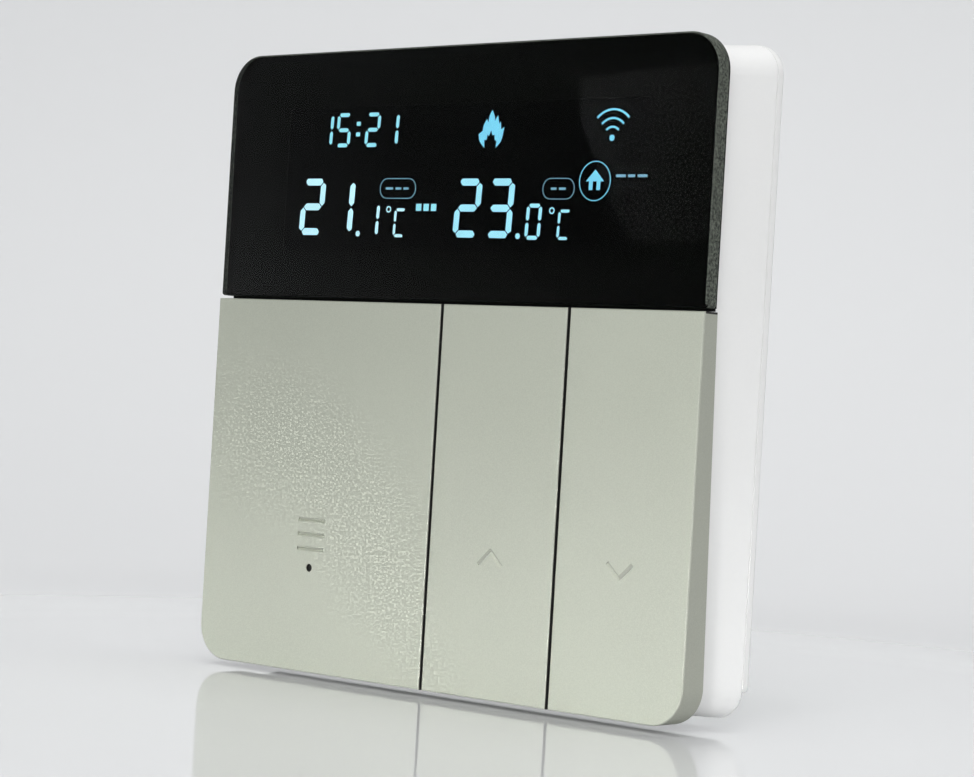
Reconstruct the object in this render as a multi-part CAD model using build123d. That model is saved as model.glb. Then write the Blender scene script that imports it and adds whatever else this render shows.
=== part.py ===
from build123d import *
import os
from math import atan2, degrees

# Wall thermostat for a standard 86 mm wall box, in millimetres.
# Origin: centre of the face, on the wall plane. +X right, +Y into the wall, +Z up.
# The front faces -Y, so a piece's "front" is its lower y and its "back" its higher y.

# ---- overall ----
FACE = 86.0                 # width and height of the face
FACE_RADIUS = 5.0           # its corner radius
HALF = FACE / 2
GLASS_FRONT, GLASS_BACK = -13.5, -11.5
KEY_FRONT = -13.8           # the keys stand a little proud of the glass
SEAM_Z = 8.57               # line between the glass and the keys
GAP = 0.42                  # gap round the keys
KEY_SPLITS = (-0.15, 21.6)  # where the three keys part

# ---- front housing ----
RIM = -11.2                 # front edge of the housing, just behind the glass
HOUSING_BACK = -1.1         # it closes on the flange of the rear unit
DRAFT = 0.1214              # sideways growth per mm towards the wall
BOTTOM_BACK = 42.5          # distance of its lower edge below the centre, at the back
OUTLINE_RADIUS = 3.9
WALL = 1.6

# ---- keys ----
KEY_SKIN = 1.2
SKIRT = 0.85
SKIRT_BACK_TOP = -11.15     # back edge of the skirt at the seam
SKIRT_BACK_BOTTOM = -9.45   # and at the bottom: the skirt is a wedge
HINGE_Y, HINGE_Z = -10.4, 5.5
TRUNNION_R, BEARING_R = 1.0, 1.05
SWITCH_Z = -24.0
PLUNGER_FRONT = -11.0
EDGE_ROUND = 0.22

# ---- display ----
WINDOW = (64.2, 19.6)
WINDOW_Z = 25.4
LCD = (66.4, 23.6)
PIN_PITCH, PIN_COUNT = 2.0, 30

# ---- boards ----
CARRIER_FRONT, CARRIER_BACK = -8.4, -7.2
BOARD_FRONT, BOARD_BACK = -4.2, -2.6
POWER_FRONT, POWER_BACK = 3.6, 5.2

# ---- rear unit ----
FLANGE_HALF = 42.95
FLANGE_RADIUS, FLANGE_LOWER_RADIUS = 4.0, 0.7
FLANGE_BOTTOM = -39.0       # the flange stops short: a screwdriver notch to release the front
BOX = 48.0
BOX_DEPTH = 25.0
BOX_WALL = 1.6
FIXING_SPACING = 60.0       # fixing screws of the 86 mm wall box
SLOT_WIDTH, SLOT_LENGTH = 4.4, 7.0
TERMINALS, TERMINAL_PITCH = 8, 5.2


# ---- helpers ----
def block(x, y, z):
    """A box from three (low, high) pairs."""
    size = [high - low for low, high in (x, y, z)]
    middle = [(high + low) / 2 for low, high in (x, y, z)]
    return Pos(*middle) * Box(*size)


def around(middle, size):
    """The (low, high) pair of a span about its middle."""
    return (middle - size / 2, middle + size / 2)


def rod(radius, x, y, z):
    """A cylinder. The coordinate given as a (low, high) pair is its axis."""
    spans = (x, y, z)
    axis = next(i for i, s in enumerate(spans) if isinstance(s, tuple))
    low, high = spans[axis]
    middle = [(s[0] + s[1]) / 2 if isinstance(s, tuple) else s for s in spans]
    turn = (Rot(0, 90, 0), Rot(90, 0, 0), Rot(0, 0, 0))[axis]
    return Pos(*middle) * turn * Cylinder(radius, high - low)


def outline(y, width, height, radius, x=0.0, z=0.0):
    """A rounded rectangle that faces the viewer, at depth y."""
    return Plane.XZ.offset(-y) * Pos(x, z) * RectangleRounded(width, height, radius)


def plate(front, back, width, height, radius, x=0.0, z=0.0):
    return extrude(outline(back, width, height, radius, x, z), amount=back - front)


CROSS_WIDTH, CROSS_DEPTH = 0.45, 0.7     # recess in a screw head


def screw(x, z, head_front, head_r, head_height, shank_r, length):
    """A pan-head screw whose head is at the front, with a cross recess."""
    under = head_front + head_height
    body = rod(head_r, x, (head_front, under), z)
    body += rod(shank_r, x, (under, under + length), z)
    for wide, high in ((head_r * 1.1, CROSS_WIDTH), (CROSS_WIDTH, head_r * 1.1)):
        body -= block(around(x, wide), (head_front - 1, head_front + CROSS_DEPTH), around(z, high))
    return body


def turned(solid):
    """The same piece facing the wall: front and back swapped about the plane y = 0."""
    return mirror(solid, Plane.XZ)


ACROSS = (-60, 60)          # wider than the whole object, for cuts that go right across

os.makedirs("parts", exist_ok=True)


def save(name, *solids):
    shape = solids[0] if len(solids) == 1 else Compound(children=list(solids))
    export_step(shape, f"parts/{name}.step")


# ---- glass, its printed mask and its adhesive ----
GLASS_BOTTOM = SEAM_Z + GAP / 2
GLASS_ARRIS = 0.25
WINDOW_RADIUS = 0.6
ABOVE_SEAM = block(ACROSS, ACROSS, (GLASS_BOTTOM, ACROSS[1]))

glass = plate(GLASS_FRONT, GLASS_BACK, FACE, FACE, FACE_RADIUS) & ABOVE_SEAM
glass = chamfer(glass.faces().sort_by(Axis.Y)[0].edges(), GLASS_ARRIS)
save("glass_panel", glass)

MASK_INSET, MASK_THICKNESS = 0.03, 0.1
mask_size = FACE - 2 * MASK_INSET
mask_back = GLASS_BACK + MASK_THICKNESS
mask = plate(GLASS_BACK, mask_back, mask_size, mask_size, FACE_RADIUS - MASK_INSET)
mask &= block(ACROSS, ACROSS, (GLASS_BOTTOM + MASK_INSET, ACROSS[1]))
mask -= plate(GLASS_BACK - 1, mask_back + 1, *WINDOW, WINDOW_RADIUS, z=WINDOW_Z)
save("glass_ink_mask", mask)

OPENING = (67.8, 26.6)      # hole in the housing deck for the display
TAPE_HALF, TAPE_RADIUS, TAPE_SETBACK = 41.0, 2.5, 0.6
tape_height = TAPE_HALF - GLASS_BOTTOM - TAPE_SETBACK
tape = plate(mask_back, RIM, 2 * TAPE_HALF, tape_height, TAPE_RADIUS, z=TAPE_HALF - tape_height / 2)
tape -= plate(mask_back - 1, RIM + 1, OPENING[0] + 1, OPENING[1] + 1, 1.5, z=WINDOW_Z)
SEAL_HALF, SEAL_CLEARANCE = 42.7, 0.09      # a strip of it closes the seam, just clear of the keys
tape += block((-SEAL_HALF, SEAL_HALF), (mask_back, RIM), (GLASS_BOTTOM - GAP + SEAL_CLEARANCE, 10.0))
save("panel_adhesive", tape)


# ---- front housing ----
def housing_outline(y, inset=0.0):
    """Its drafted outline at depth y, moved inwards by inset."""
    half = HALF + DRAFT * y - inset
    front_half = HALF + DRAFT * RIM
    share = (y - RIM) / (HOUSING_BACK - RIM)
    bottom = front_half + share * (BOTTOM_BACK - front_half) - inset
    return outline(y, 2 * half, half + bottom, OUTLINE_RADIUS - inset, z=(half - bottom) / 2)


def drafted(front, back, inset):
    return loft([housing_outline(front, inset), housing_outline(back, inset)], ruled=True)


POST_WEB, POST_WEB_END = 2.4, 41.2


def post(x, z, front, back, radius=2.3, pilot=0.85):
    """A screw post beside a side wall, with a web to the wall."""
    web = tuple(sorted((x, POST_WEB_END if x > 0 else -POST_WEB_END)))
    solid = rod(radius, x, (front, back), z) + block(web, (front, back), around(z, POST_WEB))
    return solid, rod(pilot, x, (front - 1, back + 1), z)


DECK_BACK = RIM + 1.5
SEAM_WALL = (SEAM_Z + 0.15, SEAM_Z + 1.35)
CARRIER_SCREWS = [(x, z) for x in (-37.4, 37.4) for z in (-3.0, -33.0)]
BOARD_SCREWS = [(x, z) for x in (-37.2, 37.2) for z in (-14.0, 34.0)]
HOOK_X = (-30.0, 21.5)       # snap ledges that hold the front on the rear unit
LEDGE_WIDTH, LEDGE_DEPTH = 7.0, (-4.5, -3.5)
LEDGE_Z = ((40.15, 41.6), (-41.8, -39.1))

housing = drafted(RIM, HOUSING_BACK, 0)
cavity = drafted(RIM, HOUSING_BACK, WALL)
housing -= cavity
deck = cavity & block(ACROSS, (RIM, DECK_BACK), (SEAM_WALL[0], ACROSS[1]))
housing += deck
housing += cavity & block(ACROSS, (RIM, CARRIER_BACK), SEAM_WALL)
pilots = []
for x, z in CARRIER_SCREWS:
    solid, pilot = post(x, z, CARRIER_BACK, BOARD_FRONT - 0.2)
    housing += solid
    pilots.append(pilot)
for x, z in BOARD_SCREWS:
    solid, pilot = post(x, z, CARRIER_BACK if z < 0 else DECK_BACK, BOARD_FRONT)
    housing += solid
    pilots.append(pilot & block(ACROSS, (DECK_BACK, BOARD_FRONT + 1), ACROSS))
for x in HOOK_X:
    for z in LEDGE_Z:
        housing += block(around(x, LEDGE_WIDTH), LEDGE_DEPTH, z)
for pilot in pilots:
    housing -= pilot
housing -= plate(RIM - 1, DECK_BACK + 0.1, *OPENING, 0.8, z=WINDOW_Z)
VENTS, VENT_PITCH = 7, 9.0
VENT_WIDTH, VENT_DEPTH = 6.0, (-7.2, -6.0)
for n in range(VENTS):
    x = (n - (VENTS - 1) / 2) * VENT_PITCH
    for z in ((-44, -39), (39, 44)):
        housing -= block(around(x, VENT_WIDTH), VENT_DEPTH, z)
save("front_housing", housing)


# ---- keys ----
KEY_TOP = SEAM_Z - GAP / 2
KEYS = {
    "mode": (-HALF, KEY_SPLITS[0] - GAP / 2),
    "up": (KEY_SPLITS[0] + GAP / 2, KEY_SPLITS[1] - GAP / 2),
    "down": (KEY_SPLITS[1] + GAP / 2, HALF),
}
TAB_INSET, TAB_WIDTH = 4.9, 1.6
EAR_INSET, EAR_WIDTH = 3.0, 1.7
LATCH_Z = (-38.4, -37.2)
LATCH_WIDTH, LATCH_END, LATCH_TOOTH = 4.0, -6.2, 0.9
PAD_R = 1.4                 # boss that meets the switch
RIB_Z, RIB, RIB_BACK = (-12.0, -33.0), 0.8, -12.0
TAB_Z, TAB_BACK = (4.2, 6.8), -9.2
GROOVE = 0.3                # depth of the engraved lines, which are V-shaped
DOT_R, DOT_DEPTH = 0.55, 0.4


def stroke(start, end):
    """A V-shaped line engraved in a key's face, between two (x, z) points."""
    run = (end[0] - start[0], end[1] - start[1])
    length = (run[0] ** 2 + run[1] ** 2) ** 0.5 + GROOVE
    side = GROOVE * 2**0.5
    bar = Rot(45, 0, 0) * Box(length, side, side)
    turn = Rot(0, -degrees(atan2(run[1], run[0])), 0)
    return Pos(start[0] + run[0] / 2, KEY_FRONT, start[1] + run[1] / 2) * turn * bar


def dot(x, z):
    return rod(DOT_R, x, (KEY_FRONT - 1, KEY_FRONT + DOT_DEPTH), z)


def chevron(x, z, rise):
    tip = (x, z + rise / 2)
    return [stroke((x + side * 1.9, z - rise / 2), tip) for side in (-1, 1)]


MENU_X, MENU_Z = -22.0, -24.0
marks = {
    "mode": [stroke((MENU_X - 2.4, MENU_Z + dz), (MENU_X + 2.4, MENU_Z + dz)) for dz in (-2, 0, 2)]
    + [dot(MENU_X, MENU_Z - 4.6)],
    "up": chevron(10.75, -24.5, 1.8),
    "down": chevron(32.1, -24.5, -1.8),
}


def skirt_cut(x0, x1):
    """Everything behind the skirt's slanted back edge."""
    slope = (SKIRT_BACK_BOTTOM - SKIRT_BACK_TOP) / (KEY_TOP + HALF)
    profile = Polyline(
        (SKIRT_BACK_TOP - slope * 3, KEY_TOP + 3), (0, KEY_TOP + 3), (0, -HALF - 3),
        (SKIRT_BACK_BOTTOM + slope * 3, -HALF - 3), close=True,
    )
    return extrude(Plane.YZ.offset(x0 - 1) * make_face(profile), amount=x1 - x0 + 2)


def key(name):
    x0, x1 = KEYS[name]
    middle = (x0 + x1) / 2
    outer = plate(KEY_FRONT, -8, FACE, FACE, FACE_RADIUS)
    outer &= block((x0, x1), ACROSS, (ACROSS[0], KEY_TOP))
    outer -= skirt_cut(x0, x1)
    inner_size = FACE - 2 * SKIRT
    inner = plate(KEY_FRONT + KEY_SKIN, -5, inner_size, inner_size, FACE_RADIUS - SKIRT)
    inner &= block((x0 + SKIRT, x1 - SKIRT), ACROSS, (ACROSS[0], KEY_TOP - SKIRT))
    solid = outer - inner
    solid = fillet(solid.faces().sort_by(Axis.Y)[0].edges(), EDGE_ROUND)
    within = plate(RIM - 0.8, 0, inner_size, inner_size, FACE_RADIUS - SKIRT)
    solid -= within & block((-50, 50), (-20, 0), (-50, -38.8))
    solid -= within & block((-50, 50), (RIM - 0.3, 0), (KEY_TOP - SKIRT - 0.1, KEY_TOP + 1))
    under = KEY_FRONT + KEY_SKIN - 0.2
    solid += rod(PAD_R, middle, (under, PLUNGER_FRONT - 0.05), SWITCH_Z)
    for z in RIB_Z:
        solid += block((x0 + SKIRT / 2, x1 - SKIRT / 2), (under, RIB_BACK), around(z, RIB))
    latch_x = around(middle, LATCH_WIDTH)
    solid += block(latch_x, (under, LATCH_END), LATCH_Z)
    solid += block(latch_x, (CARRIER_BACK + 0.1, LATCH_END), (LATCH_Z[0] - LATCH_TOOTH, LATCH_Z[1]))
    for side, edge in ((1, x0), (-1, x1)):
        tab = around(edge + side * (TAB_INSET + TAB_WIDTH / 2), TAB_WIDTH)
        ends = sorted((edge + side * EAR_INSET, edge + side * (TAB_INSET + 0.5)))
        solid += block(tab, (under, TAB_BACK), TAB_Z)
        solid += rod(TRUNNION_R, tuple(ends), HINGE_Y, HINGE_Z)
    for mark in marks[name]:
        solid -= mark
    return solid


for name in KEYS:
    save(f"key_{name}", key(name))

# ---- key carrier ----
CARRIER_SIZE, CARRIER_MIDDLE_Z = (79.6, 48.0), -15.8
SWITCH_HOLE, LATCH_HOLE = 7.2, 5.0
EAR_HALF, EAR_FRONT, EAR_SLOT = 1.75, -11.8, 1.7

carrier = plate(CARRIER_FRONT, CARRIER_BACK, *CARRIER_SIZE, 2.0, z=CARRIER_MIDDLE_Z)
for x0, x1 in KEYS.values():
    middle = (x0 + x1) / 2
    carrier -= block(around(middle, SWITCH_HOLE), (-9, -7), around(SWITCH_Z, SWITCH_HOLE))
    carrier -= block(around(middle, LATCH_HOLE), (-9, -7), (LATCH_Z[0] - 0.35, LATCH_Z[1] + 1.3))
    for side, edge in ((1, x0), (-1, x1)):
        ear_x = edge + side * (EAR_INSET + EAR_WIDTH / 2)
        ear = block(around(ear_x, EAR_WIDTH), (EAR_FRONT, CARRIER_FRONT), around(HINGE_Z, 2 * EAR_HALF))
        ear -= rod(BEARING_R, around(ear_x, 4), HINGE_Y, HINGE_Z)
        ear -= block(around(ear_x, 4), (-13, HINGE_Y), around(HINGE_Z, EAR_SLOT))
        carrier += ear
for x, z in CARRIER_SCREWS:
    carrier -= rod(1.15, x, (-9, -7), z)
save("key_carrier", carrier)
SMALL_HEAD_R, SMALL_HEAD, SMALL_SHANK_R = 1.9, 1.1, 0.8      # the small screws of both boards
save("carrier_screws", *[
    screw(x, z, CARRIER_FRONT - SMALL_HEAD, SMALL_HEAD_R, SMALL_HEAD, SMALL_SHANK_R, 3.4)
    for x, z in CARRIER_SCREWS
])

# ---- display stack ----
LCD_FRONT, LCD_SPLIT, LCD_BACK = -11.1, -10.0, -8.9
LEDGE = 0.9                 # the rear glass stands below the front one for the pins
lcd = block(around(0, LCD[0]), (LCD_FRONT, LCD_SPLIT), around(WINDOW_Z + LEDGE / 2, LCD[1] - LEDGE))
lcd += block(around(0, LCD[0]), (LCD_SPLIT, LCD_BACK), around(WINDOW_Z, LCD[1]))
save("lcd_cell", lcd)

LIGHT_SIZE, LIGHT_Z = (65.0, 21.6), WINDOW_Z + 0.4
save("backlight_diffuser", plate(LCD_BACK, LCD_BACK + 0.4, *LIGHT_SIZE, 0.5, z=LIGHT_Z))
GUIDE_FRONT, GUIDE_BACK = LCD_BACK + 0.4, -5.5
save("backlight_guide", plate(GUIDE_FRONT, GUIDE_BACK, *LIGHT_SIZE, 0.5, z=LIGHT_Z))
save("backlight_reflector", plate(GUIDE_BACK, GUIDE_BACK + 0.2, *LIGHT_SIZE, 0.5, z=LIGHT_Z))
LED_X = -LIGHT_SIZE[0] / 2 - 0.75
leds = [block(around(LED_X, 1.3), (-8.0, -6.2), around(LIGHT_Z + dz, 2.8)) for dz in (-7, 0, 7)]
save("backlight_leds", *leds)

holder = plate(DECK_BACK + 0.1, BOARD_FRONT, 68.8, 27.8, 1.5, z=24.7)
holder -= plate(-12, LCD_BACK, LCD[0] + 0.3, LCD[1] + 0.3, 0.4, z=WINDOW_Z)
holder -= plate(-12, GUIDE_BACK + 0.25, LIGHT_SIZE[0] + 0.3, LIGHT_SIZE[1] + 0.3, 0.4, z=LIGHT_Z)
PIN_Z = WINDOW_Z - LCD[1] / 2 - 0.25
holder -= block(around(0, 61), (-12, -4), (PIN_Z - 0.8, PIN_Z + 1.0))
for dz in (-7, 0, 7):
    holder -= block(around(LED_X, 1.5), (-8.2, -6.0), around(LIGHT_Z + dz, 3.0))
save("lcd_holder", holder)

pins = []
for n in range(PIN_COUNT):
    x = around((n - (PIN_COUNT - 1) / 2) * PIN_PITCH, 0.5)
    pin = block(x, (LCD_SPLIT - 0.3, BOARD_BACK + 0.5), around(PIN_Z, 0.35))
    pin += block(x, (LCD_SPLIT - 0.3, LCD_SPLIT - 0.05), (PIN_Z - 0.1, PIN_Z + 0.95))
    pin += block(x, (LCD_BACK + 0.05, LCD_BACK + 0.3), (PIN_Z - 0.1, PIN_Z + 0.7))
    pins.append(pin)
save("lcd_pins", *pins)

# ---- main board ----
HEADER_X, HEADER_Z = 1.2, 4.0
SENSOR_X, SENSOR_Z = 26.0, -35.2
board = plate(BOARD_FRONT, BOARD_BACK, 79.2, 74.4, 2.0, z=0.6)
for x, z in BOARD_SCREWS:
    board -= rod(1.15, x, (-5, -2), z)
for side in (-1, 1):
    board -= rod(5.5, side * FIXING_SPACING / 2, (-5, -2), 0)
for n in range(PIN_COUNT):
    x = (n - (PIN_COUNT - 1) / 2) * PIN_PITCH
    board -= block(around(x, 0.7), (-5, -2), around(PIN_Z, 0.55))
board -= block((SENSOR_X - 7, SENSOR_X - 6), (-5, -2), (-38, -29))
board -= block((SENSOR_X - 7, SENSOR_X + 6), (-5, -2), (-30, -29))
save("main_board", board)
save("board_screws", *[
    turned(screw(x, z, -BOARD_BACK - SMALL_HEAD, SMALL_HEAD_R, SMALL_HEAD, SMALL_SHANK_R, 4.0))
    for x, z in BOARD_SCREWS
])

# ---- push switches under the keys ----
switch_x = {name: (x0 + x1) / 2 for name, (x0, x1) in KEYS.items()}
SWITCH, SWITCH_TOP, LID = 6.0, BOARD_FRONT - 3.5, 0.3
DOME_R, DOME_SHEET = 2.4, 0.15
switch_bodies, switch_covers = [], []
for x in switch_x.values():
    body = block(around(x, SWITCH), (SWITCH_TOP + LID, BOARD_FRONT), around(SWITCH_Z, SWITCH))
    body -= rod(2.6, x, (SWITCH_TOP - 1, BOARD_FRONT - 1.2), SWITCH_Z)
    switch_bodies.append(body)
    cover = block(around(x, SWITCH), (SWITCH_TOP, SWITCH_TOP + LID), around(SWITCH_Z, SWITCH))
    cover -= rod(1.85, x, (SWITCH_TOP - 1, SWITCH_TOP + 1), SWITCH_Z)
    switch_covers.append(cover)
save("switch_bodies", *switch_bodies)
save("switch_covers", *switch_covers)
for name, x in switch_x.items():
    plunger = rod(1.75, x, (PLUNGER_FRONT, SWITCH_TOP + 1.0), SWITCH_Z)
    plunger += rod(2.3, x, (SWITCH_TOP + 0.35, SWITCH_TOP + 1.0), SWITCH_Z)
    save(f"switch_plunger_{name}", plunger)
    dome_front, dome_back = SWITCH_TOP + 1.05, BOARD_FRONT - 1.25
    rise = dome_back - dome_front
    dome = rod(DOME_R, x, (dome_front, dome_back), SWITCH_Z)
    bend = (DOME_R**2 + rise**2) / (2 * rise)
    dome &= Pos(x, dome_front + bend, SWITCH_Z) * Sphere(bend)
    dome -= Pos(x, dome_front + bend + DOME_SHEET, SWITCH_Z) * Sphere(bend)
    save(f"switch_dome_{name}", dome)

# ---- other pieces on the main board ----
WIFI_X, WIFI_Z = -3.0, -14.0
wifi = block(around(WIFI_X, 16), (BOARD_FRONT - 0.8, BOARD_FRONT), around(WIFI_Z, 24))
save("wifi_module", wifi)
SHIELD, SHIELD_SHEET = (12.0, 15.0), 0.2
shield_x, shield_z = around(WIFI_X, SHIELD[0]), around(WIFI_Z - 3.5, SHIELD[1])
shield = block(shield_x, (BOARD_FRONT - 2.8, BOARD_FRONT - 0.8), shield_z)
hollow_x, hollow_z = [(low + SHIELD_SHEET, high - SHIELD_SHEET) for low, high in (shield_x, shield_z)]
shield -= block(hollow_x, (BOARD_FRONT - 2.8 + SHIELD_SHEET, BOARD_FRONT), hollow_z)
save("wifi_shield", shield)

CHIP_X, CHIP_Z, CHIP = 21.5, -10.0, 10.0
LEG_PITCH, LEG_WIDTH, LEGS_A_SIDE = 0.8, 0.3, 11
leg_y = (BOARD_FRONT - 0.3, BOARD_FRONT)
legs = []
for n in range(LEGS_A_SIDE):
    step = (n - (LEGS_A_SIDE - 1) / 2) * LEG_PITCH
    for side in (-1, 1):
        out = around(side * (CHIP / 2 + 0.5), 1.0)
        legs.append(block((CHIP_X + out[0], CHIP_X + out[1]), leg_y, around(CHIP_Z + step, LEG_WIDTH)))
        legs.append(block(around(CHIP_X + step, LEG_WIDTH), leg_y, (CHIP_Z + out[0], CHIP_Z + out[1])))
chip = block(around(CHIP_X, CHIP), (-5.7, BOARD_FRONT - 0.1), around(CHIP_Z, CHIP))
save("control_chip", chip, *legs)

SENSOR_Y = -5.7
sensor = Pos(SENSOR_X, SENSOR_Y, SENSOR_Z) * Sphere(1.2)
for side in (-1, 1):
    sensor += rod(0.2, SENSOR_X + side * 0.7, (SENSOR_Y, BOARD_FRONT), SENSOR_Z)
save("temperature_sensor", sensor)

# ---- plug between the two units ----
CONTACT_PITCH, CONTACT_PIN = 2.54, 0.64
CONTACTS = [
    (HEADER_X + (n - 2) * CONTACT_PITCH, HEADER_Z + row * CONTACT_PITCH / 2)
    for n in range(5) for row in (-1, 1)
]
SOCKET_BACK = 1.0
socket = block(around(HEADER_X, 13.2), (BOARD_BACK, SOCKET_BACK), around(HEADER_Z, 5.2))
for x, z in CONTACTS:
    socket -= block(around(x, 0.9), (BOARD_BACK + 0.4, 2), around(z, 0.9))
save("board_socket", socket)
header = block(around(HEADER_X, 13.0), (SOCKET_BACK + 0.1, POWER_FRONT), around(HEADER_Z, 5.0))
for x, z in CONTACTS:
    header -= block(around(x, 0.66), (0, 5), around(z, 0.66))
save("header_base", header)
save("header_pins", *[
    block(around(x, CONTACT_PIN), (-1.6, POWER_BACK + 0.9), around(z, CONTACT_PIN)) for x, z in CONTACTS
])

# ---- rear housing ----
INNER = BOX - 2 * BOX_WALL
POSTS = [(x, z) for x in (-19.4, 19.4) for z in (19.4, -9.0)]
TERMINAL_ROW = TERMINALS * TERMINAL_PITCH
TERMINAL_X = [(n - (TERMINALS - 1) / 2) * TERMINAL_PITCH for n in range(TERMINALS)]
TERMINAL_Z = (-23.6, -12.6)
TERMINAL_BACK = 24.8

base = plate(HOUSING_BACK, 0, 2 * FLANGE_HALF, 2 * FLANGE_HALF, FLANGE_RADIUS)
base &= block(ACROSS, ACROSS, (FLANGE_BOTTOM, ACROSS[1]))
base = fillet(base.edges().filter_by(Axis.Y).sort_by(Axis.Z)[:2], FLANGE_LOWER_RADIUS)
base += plate(HOUSING_BACK, BOX_DEPTH, BOX, BOX, 3.0)
base -= plate(-5, BOX_DEPTH - BOX_WALL, INNER, INNER, 1.4)
for x, z in POSTS:
    side = 1 if x > 0 else -1
    base += rod(2.6, x, (POWER_BACK, BOX_DEPTH - 1), z)
    base += block(tuple(sorted((x, side * (INNER / 2 + 0.5)))), (POWER_BACK, BOX_DEPTH - 1), around(z, 2))
for x, z in POSTS:
    base -= rod(1.0, x, (POWER_BACK - 1, POWER_BACK + 9), z)
base -= block(around(0, TERMINAL_ROW + 0.4), (POWER_BACK - 0.2, 30), (-30, TERMINAL_Z[1] + 0.2))
for side in (-1, 1):
    slot = Plane.XZ.offset(-5) * Pos(side * FIXING_SPACING / 2, 0) * SlotOverall(SLOT_LENGTH, SLOT_WIDTH)
    base -= extrude(slot, amount=10)
for x in HOOK_X:
    for z, barb in (((38.75, 39.75), (38.75, 40.55)), ((-38.3, -37.3), (-39.5, -37.3))):
        base += block(around(x, 5), (-5.9, HOUSING_BACK + 0.3), z)
        base += block(around(x, 5), (-5.9, -4.6), barb)
save("base_housing", base)

# ---- insulating cover ----
COVER_FRONT, COVER_BACK = 0.0, 1.5
cover = plate(COVER_FRONT, COVER_BACK, INNER - 0.4, INNER - 0.4, 1.2)
for x, z in POSTS:
    cover += rod(2.4, x, (COVER_FRONT, POWER_FRONT), z)
for x, z in POSTS:
    cover -= rod(1.2, x, (-1, 5), z)
cover -= block(around(HEADER_X, 14.2), (-1, 2), around(HEADER_Z, 6.2))
for n in range(6):
    cover -= block(around((n - 2.5) * 4.5, 1.5), (-1, 2), (-14, -2))
save("insulating_cover", cover)
save("cover_screws", *[screw(x, z, COVER_FRONT - 1.0, 2.1, 1.0, 0.95, 11) for x, z in POSTS])

# ---- power board ----
power = plate(POWER_FRONT, POWER_BACK, 44.0, 44.0, 1.0)
for x, z in POSTS:
    power -= rod(1.2, x, (3, 6), z)
for x, z in CONTACTS:
    power -= block(around(x, 0.8), (3, 6), around(z, 0.8))
for x in TERMINAL_X:
    power -= block(around(x, 1.4), (3, 6), around(-18, 1.2))
save("power_board", power)

# ---- relay ----
RELAY_X, RELAY_Z = (-14.5, 14.5), (8.8, 21.5)
RELAY_MID_Z = sum(RELAY_Z) / 2
RELAY_FRONT, RELAY_BACK = POWER_BACK, 21.0
CASE_WALL = 0.8
relay_base = block(RELAY_X, (RELAY_FRONT, RELAY_FRONT + 2), RELAY_Z)
case = block(RELAY_X, (RELAY_FRONT + 2, RELAY_BACK), RELAY_Z)
inner_x, inner_z = [(low + CASE_WALL, high - CASE_WALL) for low, high in (RELAY_X, RELAY_Z)]
case -= block(inner_x, (RELAY_FRONT, RELAY_BACK - CASE_WALL), inner_z)
save("relay_base", relay_base)
save("relay_case", case)

COIL_Y, COIL_X = 13.2, (-9.5, 5.5)
coil = rod(4.2, COIL_X, COIL_Y, RELAY_MID_Z)
for x in (COIL_X[0], COIL_X[1] - 0.8):
    coil += block((x, x + 0.8), around(COIL_Y, 9.6), around(RELAY_MID_Z, 9.6))
coil -= rod(1.6, (-12, 8), COIL_Y, RELAY_MID_Z)
save("relay_coil", coil)
YOKE_Y = (18.3, 19.5)
yoke = rod(1.55, (COIL_X[0] - 1.4, COIL_X[1] + 0.3), COIL_Y, RELAY_MID_Z)
yoke += block((COIL_X[0] - 1.5, COIL_X[0] - 0.3), (COIL_Y - 4.5, YOKE_Y[1]), around(RELAY_MID_Z, 8))
yoke += block((COIL_X[0] - 1.5, COIL_X[1] + 0.6), YOKE_Y, around(RELAY_MID_Z, 8))
save("relay_yoke", yoke)
ARMATURE_X = 6.5            # inner face of the armature when the coil is off
PIVOT = (ARMATURE_X + 0.6, YOKE_Y[1] - 0.6)
CONTACT_Y = 8.6
armature = block((ARMATURE_X, ARMATURE_X + 1.2), (9.9, PIVOT[1]), around(RELAY_MID_Z, 7.6))
armature += rod(0.6, PIVOT[0], PIVOT[1], around(RELAY_MID_Z, 7.6))
armature += block((ARMATURE_X + 1.2, ARMATURE_X + 1.6), (CONTACT_Y - 1, 15.0), around(RELAY_MID_Z, 4.0))
armature += rod(0.9, (ARMATURE_X + 0.7, ARMATURE_X + 1.2), CONTACT_Y, RELAY_MID_Z)
save("relay_armature", armature)
save("relay_contacts", *[
    block((x, x + 0.5), (RELAY_FRONT + 2, CONTACT_Y + 0.9), around(RELAY_MID_Z, 5.0))
    for x in (ARMATURE_X - 0.8, ARMATURE_X + 1.9)
])

# ---- transformer ----
TRAFO_X, TRAFO_Z, TRAFO_Y = 12.0, 1.5, (POWER_BACK, 17.0)
trafo_mid = sum(TRAFO_Y) / 2 + 0.6
core = block(around(TRAFO_X, 13.0), around(trafo_mid, 10.0), around(TRAFO_Z, 6.0))
core -= block(around(TRAFO_X, 9.4), around(trafo_mid, 6.4), around(TRAFO_Z, 8.0))
core += rod(1.6, TRAFO_X, around(trafo_mid, 7.0), TRAFO_Z)
save("transformer_core", core)
winding = rod(3.9, TRAFO_X, around(trafo_mid, 5.0), TRAFO_Z)
for y in (trafo_mid - 3.1, trafo_mid + 2.5):
    winding += block(around(TRAFO_X, 9.0), (y, y + 0.6), around(TRAFO_Z, 11.6))
winding -= rod(1.65, TRAFO_X, (0, 30), TRAFO_Z)
for side in (-1, 1):
    winding += block(around(TRAFO_X, 8.6), (POWER_BACK, trafo_mid - 2.5), around(TRAFO_Z + side * 4.6, 2.0))
save("transformer_winding", winding)

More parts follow.
